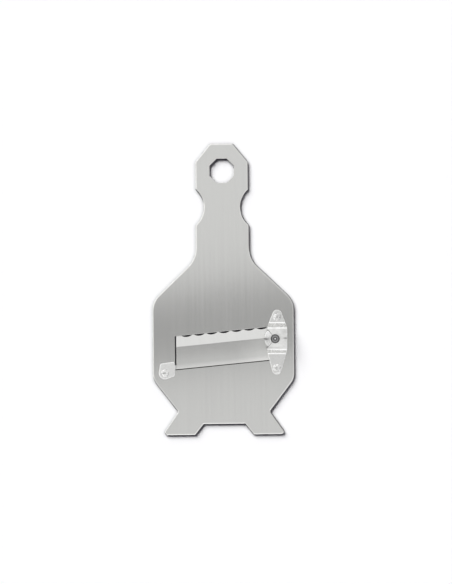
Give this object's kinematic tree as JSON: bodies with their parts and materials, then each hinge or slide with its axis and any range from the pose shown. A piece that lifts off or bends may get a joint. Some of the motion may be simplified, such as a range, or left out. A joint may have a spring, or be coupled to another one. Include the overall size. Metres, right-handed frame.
{
  "type": "truffle slicer",
  "caption": "Hand slicer of sheet steel with a slanted slot and a scalloped blade that a knurled wheel under a riveted bridge tilts to set the slice thickness.",
  "frame": {"origin": "middle of the plate's outline, on its flat rear face", "axes": "+Y along the plate from the feet to the hanging hole, +Z out of the food side, on which the blade lifts, +X across the plate towards the bridge"},
  "size_m": [0.09, 0.185, 0.008],
  "materials": {
    "plate_steel": "brushed along the grip, satin",
    "blade_steel": "fine ground, with a bright bevel",
    "tab_steel": "tumbled, bright",
    "bush_brass": "turned",
    "rivet_steel": "hammered, bright",
    "bridge_steel": "tumbled, bright",
    "wheel_steel": "face turned, with a knurled rim",
    "screw_steel": "turned, dark"
  },
  "bodies": {
    "frame": {"plate": "plate_steel", "blade_tab_left": "tab_steel", "blade_tab_right": "tab_steel", "blade_neck_left": "blade_steel", "blade_neck_right": "blade_steel", "tab_rivet": "rivet_steel", "bridge": "bridge_steel", "bridge_rivet_upper": "rivet_steel", "bridge_rivet_lower": "rivet_steel"},
    "blade": {"blade": "blade_steel", "blade_bush": "bush_brass"},
    "adjuster": {"adjusting_wheel": "wheel_steel", "adjusting_screw": "screw_steel"}
  },
  "joints": [
    {"name": "wheel_turn", "type": "hinge", "parent": "frame", "child": "adjuster", "pos_m": [0.03275, -0.03166, 0.004], "axis": [0, 0, -1], "range_deg": [0, 740]},
    {"name": "blade_tilt", "type": "hinge", "parent": "frame", "child": "blade", "pos_m": [0, -0.04654, 0.002], "axis": [0.9959, 0.0906, 0], "range_deg": [0, 7], "deforming": ["blade_neck_left", "blade_neck_right"]}
  ],
  "couplings": [
    {"joint": "wheel_turn", "follows": "blade_tilt", "ratio": 105.71}
  ]
}
